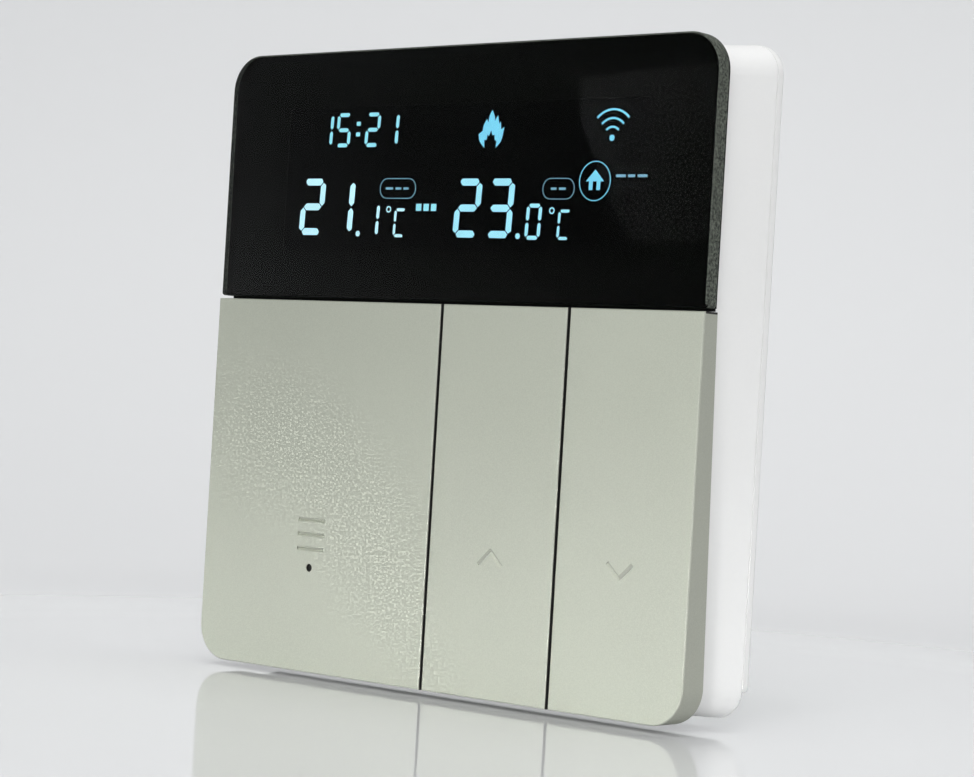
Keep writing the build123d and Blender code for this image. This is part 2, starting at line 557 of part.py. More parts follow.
# ---- other power pieces ----
CAN_R, CAN_BACK, CAN_Z, CAN_GROOVE = 4.0, 17.5, 1.6, 0.3
capacitors = []
for x in (-17.4, -8.4):
    can = rod(CAN_R, x, (POWER_BACK, CAN_BACK), CAN_Z)
    can -= rod(CAN_R + 1, x, (14.6, 15.2), CAN_Z) - rod(CAN_R - CAN_GROOVE, x, (14, 16), CAN_Z)
    capacitors.append(can)
save("filter_capacitors", *capacitors)
save("film_capacitor", fillet(block((-3.2, 3.0), (POWER_BACK, 16.5), (-7.4, 1.6)).edges(), 0.6))
VARISTOR_X = 10.6
varistor = fillet(rod(4.4, VARISTOR_X, POWER_BACK + 5.6, (-10.2, -6.8)).edges(), 0.8)
for side in (-1, 1):
    varistor += rod(0.3, VARISTOR_X + side * 2.5, (POWER_BACK, POWER_BACK + 3.5), -8.5)
save("varistor", varistor)
FUSE_Y, FUSE_Z, FUSE_LEAD = POWER_BACK + 2.1, -8.6, 0.5
fuse = fillet(rod(1.9, (-14.0, -4.0), FUSE_Y, FUSE_Z).edges(), 0.6)
fuse += block((-16.0, -2.0), around(FUSE_Y, FUSE_LEAD), around(FUSE_Z, FUSE_LEAD))
for x in (-15.75, -2.25):
    fuse += block(around(x, FUSE_LEAD), (POWER_BACK, FUSE_Y), around(FUSE_Z, FUSE_LEAD))
save("fuse", fuse)

# ---- terminals ----
ENTRY_Y, ENTRY_R = 17.5, 1.5
CLAMP_Y, SCREW_Z = (15.2, 21.0), -17.4
terminal = block(around(0, TERMINAL_ROW), (POWER_BACK, TERMINAL_BACK), TERMINAL_Z)
for x in TERMINAL_X:
    terminal -= block(around(x, 4.2), CLAMP_Y, (-20.2, -14.6))
    terminal -= rod(1.9, x, (CLAMP_Y[1] - 1, 30), SCREW_Z)
    terminal -= rod(ENTRY_R, x, ENTRY_Y, (-30, -20))
    terminal -= block(around(x, 1.2), (POWER_BACK - 1, CLAMP_Y[0] + 1), around(-18, 1.0))
save("terminal_block", terminal)

clamps, screws = [], []
for x in TERMINAL_X:
    cage = block(around(x, 4.0), (CLAMP_Y[0] + 0.1, CLAMP_Y[1] - 0.1), (-20.0, -14.8))
    cage -= block(around(x, 3.0), (CLAMP_Y[0] + 0.7, CLAMP_Y[1] - 1.6), (-21, -14))
    cage -= rod(1.25, x, (18, 22), SCREW_Z)
    cage += block(around(x, 1.0), (POWER_FRONT - 0.6, CLAMP_Y[0] + 0.2), around(-18, 0.8))
    clamps.append(cage)
    bolt = rod(1.2, x, (17.6, 21.3), SCREW_Z) + rod(1.75, x, (21.3, 23.2), SCREW_Z)
    bolt -= block(around(x, 4), (22.4, 24), around(SCREW_Z, 0.5))
    screws.append(bolt)
save("terminal_clamps", *clamps)
save("terminal_screws", *screws)
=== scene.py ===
import math

import bmesh
import bpy
from mathutils import Matrix, Vector


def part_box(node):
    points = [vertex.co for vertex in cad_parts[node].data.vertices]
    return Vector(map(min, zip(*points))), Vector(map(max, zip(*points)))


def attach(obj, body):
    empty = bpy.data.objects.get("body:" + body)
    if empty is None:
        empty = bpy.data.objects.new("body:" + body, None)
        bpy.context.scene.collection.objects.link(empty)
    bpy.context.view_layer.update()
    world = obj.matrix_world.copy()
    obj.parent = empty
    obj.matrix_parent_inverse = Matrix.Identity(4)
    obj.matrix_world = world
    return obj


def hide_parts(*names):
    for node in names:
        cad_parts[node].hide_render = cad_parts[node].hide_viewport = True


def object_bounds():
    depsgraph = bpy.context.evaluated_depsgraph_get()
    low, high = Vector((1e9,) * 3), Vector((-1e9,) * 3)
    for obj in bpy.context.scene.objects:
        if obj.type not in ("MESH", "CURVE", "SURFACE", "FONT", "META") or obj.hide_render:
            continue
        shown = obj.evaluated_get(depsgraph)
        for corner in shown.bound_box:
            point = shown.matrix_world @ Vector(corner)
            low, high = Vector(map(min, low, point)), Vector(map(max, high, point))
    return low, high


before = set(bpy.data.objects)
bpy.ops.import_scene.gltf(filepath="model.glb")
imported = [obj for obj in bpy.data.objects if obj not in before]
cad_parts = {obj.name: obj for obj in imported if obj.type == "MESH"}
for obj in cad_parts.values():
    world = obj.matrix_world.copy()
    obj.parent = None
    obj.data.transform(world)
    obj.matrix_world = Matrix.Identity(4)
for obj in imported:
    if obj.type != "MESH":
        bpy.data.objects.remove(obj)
cad_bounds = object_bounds()

# A wall thermostat: black glass with a lit display over three champagne keys, in a white housing.
# Lengths below are in millimetres unless a name says metres; MM turns them into Blender's metres.
# +X right, +Y into the wall, +Z up. The front faces -Y.
MM = 0.001

scene = bpy.context.scene
scene.view_settings.view_transform = "Standard"


# ---- small helpers ----
def box(node):
    """A CAD node's lowest and highest corner, in millimetres."""
    low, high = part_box(node)
    return low / MM, high / MM


def linear(red, green, blue):
    """A linear colour from 0-255 display values."""
    shares = [c / 255 for c in (red, green, blue)]
    return [((c + 0.055) / 1.055) ** 2.4 if c > 10 / 255 else c / 12.92 for c in shares] + [1]


def scaled(colour, factor):
    return [min(c * factor, 1) for c in colour[:3]] + [1]


# ---- procedural materials ----
class Surface:
    """A Principled material and short ways to add nodes to it."""

    def __init__(self, name, **constants):
        self.material = bpy.data.materials.new(name)
        self.material.use_nodes = True
        self.tree = self.material.node_tree
        self.shader = self.tree.nodes["Principled BSDF"]
        coordinates = self.node("TexCoord")
        self.place = coordinates.outputs["Object"]
        self.normal = coordinates.outputs["Normal"]
        for socket, value in constants.items():
            self.shader.inputs[socket.replace("_", " ")].default_value = value

    def node(self, kind, **settings):
        made = self.tree.nodes.new("ShaderNode" + kind)
        for key, value in settings.items():
            setattr(made, key, value)
        return made

    def link(self, output, node, socket):
        self.tree.links.new(output, node.inputs[socket])

    def noise(self, size, detail=3.0, stretch=(1, 1, 1), roughness=0.55):
        """A noise from 0 to 1 with features of that size."""
        mapping = self.node("Mapping")
        mapping.inputs["Scale"].default_value = stretch
        self.link(self.place, mapping, "Vector")
        made = self.node("TexNoise")
        made.inputs["Scale"].default_value = 1 / (size * MM)
        made.inputs["Detail"].default_value = detail
        made.inputs["Roughness"].default_value = roughness
        self.link(mapping.outputs["Vector"], made, "Vector")
        return made.outputs["Fac"]

    def spread(self, value, low, high, start=0.3, end=0.7):
        """value from start..end stretched to low..high."""
        made = self.node("MapRange")
        for socket, number in (("From Min", start), ("From Max", end), ("To Min", low), ("To Max", high)):
            made.inputs[socket].default_value = number
        self.link(value, made, "Value")
        return made.outputs["Result"]

    def mix(self, factor, first, second):
        made = self.node("Mix", data_type="RGBA")
        for value, socket in ((factor, 0), (first, 6), (second, 7)):
            if isinstance(value, (list, tuple, float, int)):
                made.inputs[socket].default_value = value
            else:
                self.tree.links.new(value, made.inputs[socket])
        return made.outputs[2]

    def bump(self, height, depth, strength=1.0, edge=0.0):
        """Bump of that depth; edge also rounds the sharp edges by that radius."""
        made = self.node("Bump")
        made.inputs["Distance"].default_value = depth * MM
        made.inputs["Strength"].default_value = strength
        self.link(height, made, "Height")
        if edge:
            bevel = self.node("Bevel", samples=4)
            bevel.inputs["Radius"].default_value = edge * MM
            self.link(bevel.outputs["Normal"], made, "Normal")
        self.link(made.outputs["Normal"], self.shader, "Normal")


def moulded(
    name, colour, roughness=0.45, grain=0.35, depth=0.012, tone=0.05, edge=0.15, stretch=(1, 1, 1), **more
):
    """Plastic, metal or film: colour drifts over the piece, with a fine grain in bump and roughness."""
    surface = Surface(name, **more)
    fine = surface.noise(grain, 4, stretch)
    broad = surface.noise(14)
    drift = surface.mix(surface.spread(broad, 0, 1), scaled(colour, 1 - tone), scaled(colour, 1 + tone))
    flecked = surface.mix(surface.spread(fine, 0, 0.5), drift, scaled(colour, 1 - 2 * tone))
    surface.link(flecked, surface.shader, "Base Color")
    rough = surface.spread(fine, max(roughness - 0.08, 0.02), min(roughness + 0.08, 1))
    surface.link(rough, surface.shader, "Roughness")
    surface.bump(fine, depth, edge=edge)
    return surface.material


KEY_TOP = 8.36
KEY_SPLITS = (-0.15, 21.6)          # middles of the two gaps between the keys
GAP_REACH = 0.27
GAP_SHADE_DEPTH = -13.7                 # painted shade, a near-black colour, starts behind this plane, inside the gaps
SEAM_SHADE_DEPTH = -13.58           # and behind this one along the keys' top edge
DOT = (-22.0, -28.6)                # the drilled dot under the menu bars


def near(surface, coordinate, middle, reach):
    """1 where a coordinate in metres is within reach of middle, both in millimetres."""
    made = surface.node("Math", operation="COMPARE")
    surface.link(coordinate, made, 0)
    made.inputs[1].default_value = middle * MM
    made.inputs[2].default_value = reach * MM
    return made.outputs["Value"]


def combine(surface, operation, first, second):
    made = surface.node("Math", operation=operation)
    surface.link(first, made, 0)
    surface.link(second, made, 1)
    return made.outputs["Value"]


def gap_shade_mask(surface):
    """1 on the walls inside the gaps round the keys, in the dot and behind the keys' top edge, where painted
    shade goes.
    """
    axes = surface.node("SeparateXYZ")
    surface.link(surface.place, axes, "Vector")
    walls = [near(surface, axes.outputs["X"], x, GAP_REACH) for x in KEY_SPLITS]
    dot = [near(surface, axes.outputs[axis], middle, 0.6) for axis, middle in zip("XZ", DOT)]
    seam = near(surface, axes.outputs["Z"], KEY_TOP + GAP_REACH, 2 * GAP_REACH)
    upright = combine(surface, "MAXIMUM", *walls)
    upright = combine(surface, "MAXIMUM", upright, combine(surface, "MULTIPLY", *dot))
    shade_zones = []
    for place, depth in ((upright, GAP_SHADE_DEPTH), (seam, SEAM_SHADE_DEPTH)):
        deep = surface.node("Math", operation="GREATER_THAN")
        surface.link(axes.outputs["Y"], deep, 0)
        deep.inputs[1].default_value = depth * MM
        shade_zones.append(combine(surface, "MULTIPLY", place, deep.outputs["Value"]))
    return combine(surface, "MAXIMUM", *shade_zones)


def facing_light(surface, start):
    """1 where a face looks to the front or up, and 0 on the sides, where its normal's Y is under start."""
    axes = surface.node("SeparateXYZ")
    surface.link(surface.normal, axes, "Vector")
    size = surface.node("Math", operation="ABSOLUTE")
    surface.link(axes.outputs["Y"], size, 0)
    front = surface.spread(size.outputs["Value"], 0, 1, start, 1)
    return combine(surface, "MAXIMUM", front, surface.spread(axes.outputs["Z"], 0, 1, 0.2, 0.6))


SIDE_PAINTED_SHADE = [0.72, 0.71, 0.72, 1]     # painted shade: the sides and rounded edges are darkened to about 0.72, and faces looking to the front or up are not


def key_paint():
    """Satin champagne paint with fine metal flakes under it, with painted shade: near black in the gaps, the
    dot and along the top seam, and darker on the sides.
    """
    colour = linear(188, 192, 178)
    # painted shade: this near-black colour goes in the gaps between the keys, in the dot and along the keys'
    # top seam
    plastic = linear(26, 26, 24)
    surface = Surface("key_paint", Coat_Weight=0.1, Coat_Roughness=0.3)
    flakes = surface.noise(0.16, 2)
    orange_peel = surface.noise(0.9, 3)
    broad = surface.noise(22)
    gaps = gap_shade_mask(surface)
    front = facing_light(surface, 0.85)
    drift = surface.mix(surface.spread(broad, 0, 1), scaled(colour, 0.965), scaled(colour, 1.03))
    sparkle = surface.mix(surface.spread(flakes, 0, 1, 0.42, 0.74), drift, scaled(colour, 1.08))
    dark = surface.mix(surface.spread(flakes, 0.35, 0, 0.25, 0.42), sparkle, scaled(colour, 0.9))
    # painted shade on the sides and rounded edges; faces that look to the front or up keep their colour
    side_shade = surface.mix(front, SIDE_PAINTED_SHADE, [1, 1, 1, 1])
    shaded = surface.node("Mix", data_type="RGBA", blend_type="MULTIPLY")
    shaded.inputs[0].default_value = 1.0
    surface.tree.links.new(dark, shaded.inputs[6])
    surface.tree.links.new(side_shade, shaded.inputs[7])
    # painted shade: the near-black colour replaces the paint wherever the gap shade mask is 1
    surface.link(surface.mix(gaps, shaded.outputs[2], plastic), surface.shader, "Base Color")
    metal = combine(surface, "MULTIPLY", surface.spread(gaps, 0.45, 0.0, 0, 1), front)
    surface.link(metal, surface.shader, "Metallic")
    satin = surface.spread(flakes, 0.5, 0.34)
    matt = surface.spread(front, 0.3, 0, 0, 1)
    surface.link(combine(surface, "ADD", satin, matt), surface.shader, "Roughness")
    relief = combine(surface, "ADD", flakes, surface.spread(orange_peel, 0, 1.5))
    surface.bump(relief, 0.004)
    return surface.material


def clear_glass():
    """Polished float glass over black ink: almost no colour of its own."""
    surface = Surface(
        "clear_glass", Transmission_Weight=1.0, IOR=1.5, Specular_Tint=linear(10, 12, 11)
    )
    haze = surface.noise(9)
    surface.link(surface.spread(haze, 0.0, 0.02), surface.shader, "Roughness")
    tint = surface.mix(surface.spread(haze, 0, 1), linear(236, 244, 240), linear(246, 250, 248))
    surface.link(tint, surface.shader, "Base Color")
    surface.bump(haze, 0.0005)
    return surface.material


def ground_glass():
    """The ground edge of the glass: grey-green and gritty."""
    surface = Surface("ground_glass", IOR=1.5)
    grit = surface.noise(0.32, 4, roughness=0.7)
    colour = surface.mix(surface.spread(grit, 0, 1, 0.4, 0.62), linear(18, 24, 19), linear(96, 102, 91))
    surface.link(colour, surface.shader, "Base Color")
    surface.link(surface.spread(grit, 0.75, 0.5), surface.shader, "Roughness")
    surface.bump(grit, 0.1)
    return surface.material


def lit(name, colour, strength):
    """A lit mark of the display, a little uneven like a backlight."""
    surface = Surface(name, Roughness=0.4)
    uneven = surface.noise(7, 2)
    glow = surface.mix(surface.spread(uneven, 0, 1), scaled(colour, 0.86), colour)
    surface.link(glow, surface.shader, "Emission Color")
    surface.link(glow, surface.shader, "Base Color")
    surface.shader.inputs["Emission Strength"].default_value = strength
    return surface.material


def board(name, mask, track):
    """A circuit board: solder mask over straight copper tracks, with pale printed dots."""
    surface = Surface(name, Roughness=0.35, Coat_Weight=0.3, Coat_Roughness=0.2)
    tracks = surface.node("TexBrick", offset=0.37, squash=0.6)
    tracks.inputs["Scale"].default_value = 1 / (9 * MM)
    tracks.inputs["Mortar Size"].default_value = 0.012
    turn = surface.node("Mapping")
    turn.inputs["Rotation"].default_value = (math.pi / 2, 0, 0)
    surface.link(surface.place, turn, "Vector")
    surface.link(turn.outputs["Vector"], tracks, "Vector")
    weave = surface.noise(0.5, 2)
    ground = surface.mix(surface.spread(weave, 0, 1), scaled(mask, 0.9), scaled(mask, 1.1))
    surface.link(surface.mix(tracks.outputs["Fac"], ground, track), surface.shader, "Base Color")
    surface.bump(tracks.outputs["Fac"], 0.03)
    return surface.material


def wound(name, colour, pitch, axis):
    """Fine wire wound side by side."""
    surface = Surface(name, Metallic=0.8, Roughness=0.35)
    wire = surface.node("TexWave", bands_direction=axis)
    wire.inputs["Scale"].default_value = 1 / (pitch * MM) / 20
    wire.inputs["Distortion"].default_value = 0.4
    surface.link(surface.place, wire, "Vector")
    # painted shade: the wire's colour falls to about a third in the bands between the turns
    shade = surface.mix(wire.outputs["Fac"], scaled(colour, 0.35), colour)
    surface.link(shade, surface.shader, "Base Color")
    surface.bump(wire.outputs["Fac"], 0.06)
    return surface.material


BRUSHED = (1, 1, 0.08)
FINISHES = {
    "white_housing": moulded("white_housing", linear(243, 243, 242), 0.38, 0.5, 0.01, 0.01, 0.25),
    "key_paint": key_paint(),
    "black_ink": moulded("black_ink", linear(2, 3, 2), 0.7, 0.3, 0.001, 0.1, 0, Specular_IOR_Level=0.02),
    "black_foam": moulded("black_foam", linear(20, 20, 21), 0.95, 0.25, 0.08, 0.3, 0),
    "black_plastic": moulded("black_plastic", linear(24, 24, 26), 0.5, 0.4, 0.015, 0.12),
    "steel": moulded("steel", linear(196, 197, 200), 0.3, 0.5, 0.01, 0.06, 0.1, BRUSHED, Metallic=1.0),
    "display_glass": moulded("display_glass", linear(1, 1, 2), 0.3, 3.0, 0.0, 0.2, 0, Specular_IOR_Level=0.0),
    "white_film": moulded("white_film", linear(232, 234, 232), 0.6, 0.2, 0.004, 0.03),
    "light_guide": moulded(
        "light_guide", linear(220, 232, 236), 0.12, 1.6, 0.004, 0.03, Transmission_Weight=0.8
    ),
    "led": moulded("led", linear(236, 226, 176), 0.3, 0.6, 0.01, 0.08),
    "tinned_pin": moulded("tinned_pin", linear(206, 207, 203), 0.28, 0.3, 0.01, 0.06, 0.05, Metallic=1.0),
    "circuit_board": board("circuit_board", linear(22, 84, 46), linear(36, 118, 66)),
    "module_board": board("module_board", linear(18, 34, 76), linear(34, 58, 112)),
    "plunger_plastic": moulded("plunger_plastic", linear(40, 40, 42), 0.45, 0.3, 0.01, 0.1),
    "chip_plastic": moulded("chip_plastic", linear(34, 34, 36), 0.6, 0.18, 0.02, 0.15),
    "sensor_epoxy": moulded("sensor_epoxy", linear(28, 26, 26), 0.25, 0.8, 0.02, 0.12),
    "brass": moulded("brass", linear(205, 172, 96), 0.3, 0.5, 0.012, 0.08, 0.08, BRUSHED, Metallic=1.0),
    "relay_blue": moulded("relay_blue", linear(36, 86, 158), 0.35, 0.5, 0.012, 0.06),
    "copper_coil": wound("copper_coil", linear(192, 106, 58), 0.3, "X"),
    "soft_iron": moulded("soft_iron", linear(150, 150, 150), 0.42, 0.4, 0.02, 0.1, Metallic=1.0),
    "ferrite": moulded("ferrite", linear(58, 58, 62), 0.7, 0.25, 0.04, 0.15),
    "winding_tape": moulded("winding_tape", linear(226, 196, 60), 0.35, 1.2, 0.03, 0.08),
    "capacitor_sleeve": moulded("capacitor_sleeve", linear(26, 34, 62), 0.3, 0.8, 0.01, 0.1),
    "film_yellow": moulded("film_yellow", linear(222, 176, 40), 0.4, 0.5, 0.02, 0.06),
    "varistor_blue": moulded("varistor_blue", linear(44, 92, 170), 0.4, 0.6, 0.05, 0.08),
    "fuse_body": moulded("fuse_body", linear(190, 186, 168), 0.4, 0.5, 0.02, 0.08),
    "terminal_green": moulded("terminal_green", linear(46, 142, 84), 0.42, 0.4, 0.014, 0.05),
}
FINISHES["clear_glass"] = clear_glass()


def finish_node(node):
    """Gives a CAD node the finish of its material slot."""
    for slot in node.material_slots:
        name = slot.material.name.split(".")[0]
        if name in FINISHES:
            slot.material = FINISHES[name]


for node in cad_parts.values():
    finish_node(node)


# ---- mesh helpers ----
def piece(name, bm, materials, body="root", smooth_angle=35.0):
    """A mesh piece that rides on a CAD body, from a bmesh in millimetres."""
    bmesh.ops.scale(bm, vec=(MM, MM, MM), verts=bm.verts)
    bmesh.ops.recalc_face_normals(bm, faces=bm.faces)
    mesh = bpy.data.meshes.new(name)
    bm.to_mesh(mesh)
    bm.free()
    for material in materials:
        mesh.materials.append(material)
    mesh.shade_smooth()
    mesh.set_sharp_from_angle(angle=math.radians(smooth_angle))
    made = bpy.data.objects.new(name, mesh)
    scene.collection.objects.link(made)
    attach(made, body)
    return made


def prism(bm, points, front, back, material=0):
    """A flat piece between two depths, from its (x, z) outline."""
    loops = [[bm.verts.new((x, y, z)) for x, z in points] for y in (front, back)]
    faces = [bm.faces.new(loops[0]), bm.faces.new(loops[1][::-1])]
    for i in range(len(points)):
        j = (i + 1) % len(points)
        faces.append(bm.faces.new((loops[0][j], loops[0][i], loops[1][i], loops[1][j])))
    for face in faces:
        face.material_index = material


def ring(bm, outer, inner, front, back):
    """A flat band between two outlines with the same number of points."""
    loops = [[bm.verts.new((x, y, z)) for x, z in points] for points in (outer, inner) for y in (front, back)]
    outer_front, outer_back, inner_front, inner_back = loops
    pairs = (
        (outer_front, outer_back), (inner_back, inner_front),
        (inner_front, outer_front), (outer_back, inner_back),
    )
    for a, b in pairs:
        for i in range(len(a)):
            j = (i + 1) % len(a)
            bm.faces.new((a[i], a[j], b[j], b[i]))


def arc(x, z, radius, start, end, steps):
    """Points on a circle from start to end degrees."""
    angles = [math.radians(start + (end - start) * n / steps) for n in range(steps + 1)]
    return [(x + radius * math.cos(a), z + radius * math.sin(a)) for a in angles]


def rounded(x0, x1, z0, z1, radii, steps=10):
    """A rectangle with rounded corners; radii go bottom left, bottom right, top right, top left."""
    points = []
    corners = ((x0, z0, 1, 1, 180), (x1, z0, -1, 1, 270), (x1, z1, -1, -1, 0), (x0, z1, 1, -1, 90))
    for (x, z, dx, dz, start), radius in zip(corners, radii):
        points += arc(x + dx * radius, z + dz * radius, radius, start, start + 90, steps)
    return points


# ---- glass panel ----
GLASS_RADIUS = 5.0          # top corners; the lower edge runs straight across
ARRIS = 0.25
BACK_ARRIS = 0.1
AIR = 0.02                  # keeps the glass clear of the ink behind it


def glass_panel():
    low, high = box("glass_panel")
    bm = bmesh.new()

    def loop(y, inset):
        radii = (0.4 - inset / 2, 0.4 - inset / 2, GLASS_RADIUS - inset, GLASS_RADIUS - inset)
        points = rounded(low.x + inset, high.x - inset, low.z + inset, high.z - inset, radii, 16)
        return [bm.verts.new((x, y, z)) for x, z in points]

    back = high.y - AIR
    loops = [
        loop(low.y, ARRIS),
        loop(low.y + ARRIS * 0.3, ARRIS * 0.3),
        loop(low.y + ARRIS, 0),
        loop(back - BACK_ARRIS, 0),
        loop(back, BACK_ARRIS),
    ]
    POLISHED, GROUND = 0, 1
    bm.faces.new(loops[0]).material_index = POLISHED
    bm.faces.new(loops[-1][::-1]).material_index = POLISHED
    for k, (a, b) in enumerate(zip(loops, loops[1:])):
        for i in range(len(a)):
            j = (i + 1) % len(a)
            under_seam = k < 2 and max(v.co.z for v in (a[i], a[j], b[i], b[j])) < low.z + 2 * ARRIS
            bm.faces.new((a[i], b[i], b[j], a[j])).material_index = POLISHED if under_seam else GROUND
    made = piece("glass", bm, [FINISHES["clear_glass"], ground_glass()], smooth_angle=25)
    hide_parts("glass_panel")


glass_panel()

# ---- the display's lit marks ----
MARK_BACK = box("lcd_cell")[0].y - 0.01
MARK_FRONT = MARK_BACK - 0.03
WINDOW_Z = 25.4
LCD_TILT = math.radians(-0.45)      # the cell sits very slightly turned behind its window

BIG = {"width": 3.55, "height": 6.85, "stroke": 0.94}
MEDIUM = {"width": 2.15, "height": 4.15, "stroke": 0.54}
SMALL = {"width": 2.05, "height": 4.15, "stroke": 0.52}
SLANT = math.tan(math.radians(2.0))
CORNER_GAP = 0.12
TIP = 0.35                          # how far the outer corners of a bar reach past its inner ones
SEGMENTS = {
    "0": "abcdef", "1": "bc", "2": "abged", "3": "abgcd", "4": "fgbc", "5": "afgcd",
    "6": "afgedc", "7": "abc", "8": "abcdefg", "9": "abcdfg", "C": "afed",
}


def segment(letter, width, height, stroke):
    """The outline of one bar of a seven-bar digit, about the digit's middle: a long hexagon."""
    half_w, half_h, s = width / 2, height / 2, stroke / 2
    level = {"a": half_h, "g": 0, "d": -half_h}
    if letter in level:
        z, end = level[letter], half_w - CORNER_GAP
        top = end - s * (1 - TIP if letter == "a" else 1)
        bottom = end - s * (1 - TIP if letter == "d" else 1)
        return [(-end, z), (-top, z + s), (top, z + s), (end, z), (bottom, z - s), (-bottom, z - s)]
    side = 1 if letter in "bc" else -1
    top, bottom = (half_h, 0) if letter in "bf" else (0, -half_h)
    top, bottom = top - CORNER_GAP, bottom + CORNER_GAP
    x, out = side * half_w, side * s
    outer_top = top - s * (1 - TIP if letter in "bf" else 1)
    outer_bottom = bottom + s * (1 - TIP if letter in "ce" else 1)
    return [
        (x, top), (x + out, outer_top), (x + out, outer_bottom),
        (x, bottom), (x - out, bottom + s), (x - out, top - s),
    ]


def on_display(points):
    """Turns display points by the cell's tilt about the middle of the window."""
    c, s = math.cos(LCD_TILT), math.sin(LCD_TILT)
    return [(x * c - (z - WINDOW_Z) * s, WINDOW_Z + x * s + (z - WINDOW_Z) * c) for x, z in points]


def mark(bm, points):
    prism(bm, on_display(points), MARK_FRONT, MARK_BACK)


def mark_ring(bm, outer, inner):
    ring(bm, on_display(outer), on_display(inner), MARK_FRONT, MARK_BACK)


def digit(bm, figure, x, z, size):
    for letter in SEGMENTS[figure]:
        outline = segment(letter, **size)
        mark(bm, [(x + dx + dz * SLANT, z + dz) for dx, dz in outline])


def disc(bm, x, z, radius):
    mark(bm, arc(x, z, radius, 0, 345, 23))


def hoop(bm, x, z, radius, width, height=None):
    """A circle line, or an oval one where a height is given."""
    squeeze = (height or radius) / radius
    loops = [
        [(px, z + (pz - z) * squeeze) for px, pz in arc(x, z, r, 0, 354, 59)]
        for r in (radius + width / 2, radius - width / 2)
    ]
    mark_ring(bm, *loops)


def bow(bm, x, z, radius, width, spread=45):
    """A curved stroke above a point, with round ends."""
    outer = arc(x, z, radius + width / 2, 90 - spread, 90 + spread, 18)
    inner = arc(x, z, radius - width / 2, 90 + spread, 90 - spread, 18)
    mark(bm, outer + inner)


def bar(bm, x, z, width, height):
    mark(bm, [(x - width / 2, z - height / 2), (x + width / 2, z - height / 2),
              (x + width / 2, z + height / 2), (x - width / 2, z + height / 2)])


def capsule(bm, x, z, width, height, line):
    """A line round a rounded label."""
    loops = []
    for grow in (line / 2, -line / 2):
        w, h = width / 2 + grow, height / 2 + grow
        loops.append(rounded(x - w, x + w, z - h, z + h, [h * 0.95] * 4, 8))
    mark_ring(bm, *loops)


def flame(bm, x, z, width, height):
    """Ragged tongues of flame round a dark heart."""
    right = [
        (0.00, 1.00), (0.12, 0.78), (0.10, 0.66), (0.24, 0.84), (0.30, 0.58), (0.36, 0.66), (0.40, 0.42),
        (0.52, 0.50), (0.46, 0.20), (0.40, 0.06), (0.22, -0.10),
    ]
    left = [
        (-0.10, 0.84), (-0.14, 0.62), (-0.20, 0.74), (-0.32, 0.56), (-0.34, 0.40), (-0.50, 0.30),
        (-0.46, 0.12),
        (-0.38, 0.02), (-0.24, -0.10),
    ]
    heart_right = [(0.24, 0.10), (0.16, 0.12), (0.15, 0.28), (0.06, 0.26), (0.00, 0.42)]
    heart_left = [(-0.08, 0.24), (-0.14, 0.30), (-0.17, 0.12), (-0.26, 0.14)]

    def placed(points):
        return [(x + u * width, z + (v - 0.45) * height) for u, v in points]

    mark(bm, placed(right + heart_right))
    mark(bm, placed([heart_right[-1]] + heart_left + left[::-1] + [right[0]]))


FIGURE_Z = 21.35
LABEL_Z = 23.92
DECIMAL_Z = 19.65
POINT_Z = 17.75
DEGREE_Z = 21.1


def temperature(bm, whole, tenth, x, step=5.65):
    """Two large figures from x, a point, a small figure and the degree sign."""
    for n, figure in enumerate(whole):
        digit(bm, figure, x + n * step, FIGURE_Z, BIG)
    disc(bm, x + 9.0, POINT_Z, 0.38)
    digit(bm, tenth, x + 11.5, DECIMAL_Z, SMALL)
    hoop(bm, x + 14.5, DEGREE_Z, 0.36, 0.17)
    digit(bm, "C", x + 16.65, 19.3, {"width": 1.75, "height": 3.5, "stroke": 0.4})


def temperature_marks():
    for side, x, colour in (("room", -27.03, linear(186, 228, 244)), ("set", 1.7, linear(150, 210, 232))):
        bm = bmesh.new()
        temperature(bm, {"room": "21", "set": "23"}[side], {"room": "1", "set": "0"}[side], x)
        piece(f"display_{side}_temperature", bm, [lit(f"lit_{side}", colour, 0.95)])


def clock_marks():
    bm = bmesh.new()
    for figure, x in zip("1521", (-25.35, -21.97, -16.47, -13.0)):
        digit(bm, figure, x, 31.9, MEDIUM)
    for z in (32.75, 31.3):
        bar(bm, -19.2, z, 0.72, 0.55)
    for n in range(3):
        bar(bm, -5.7 + (n - 1) * 1.35, 21.4, 0.95, 0.95)
    piece("display_clock", bm, [lit("lit_medium", linear(140, 208, 228), 0.95)])


def icon_marks():
    bm = bmesh.new()
    flame(bm, 4.95, 31.75, 4.3, 4.5)
    disc(bm, 25.25, 30.35, 0.4)
    for radius in (1.4, 2.5, 3.62):
        bow(bm, 25.25, 30.35, radius, 0.27)
    hoop(bm, 22.95, 24.9, 2.5, 0.11)
    mark(bm, [(21.5, 24.85), (24.45, 24.85), (22.95, 26.35)])
    for dx in (-0.62, 0.62):
        bar(bm, 22.95 + dx, 24.3, 0.6, 1.1)
    piece("display_icons", bm, [lit("lit_icons", linear(112, 190, 222), 0.95)])


def label_marks():
    """Two outlined labels and a name made of plain bars: no words."""
    labels = (
        (-11.1, 6.5, ((-1.55, 1.3), (0.1, 1.0), (1.5, 0.9))),
        (17.05, 5.2, ((-0.8, 0.9), (0.65, 1.1))),
    )
    bm = bmesh.new()
    for x, width, bars in labels:
        capsule(bm, x, LABEL_Z, width, 2.65, 0.09)
        for dx, length in bars:
            bar(bm, x + dx, LABEL_Z, length, 0.3)
    for dx, length in ((-1.85, 1.5), (-0.15, 1.1), (1.6, 1.5)):
        bar(bm, 28.95 + dx, 25.55, length, 0.36)
    piece("display_labels", bm, [lit("lit_labels", linear(118, 164, 190), 0.8)])


temperature_marks()
clock_marks()
icon_marks()
label_marks()

# ---- rear unit: moulded terminal numbers, ejector marks and a plain label ----
BASE_HIGH = box("base_housing")[1]
TERMINAL_LOW, TERMINAL_HIGH = box("terminal_block")
TERMINALS = 8


NUMBER_SIZE, NUMBER_RAISE = 3.0, 0.08


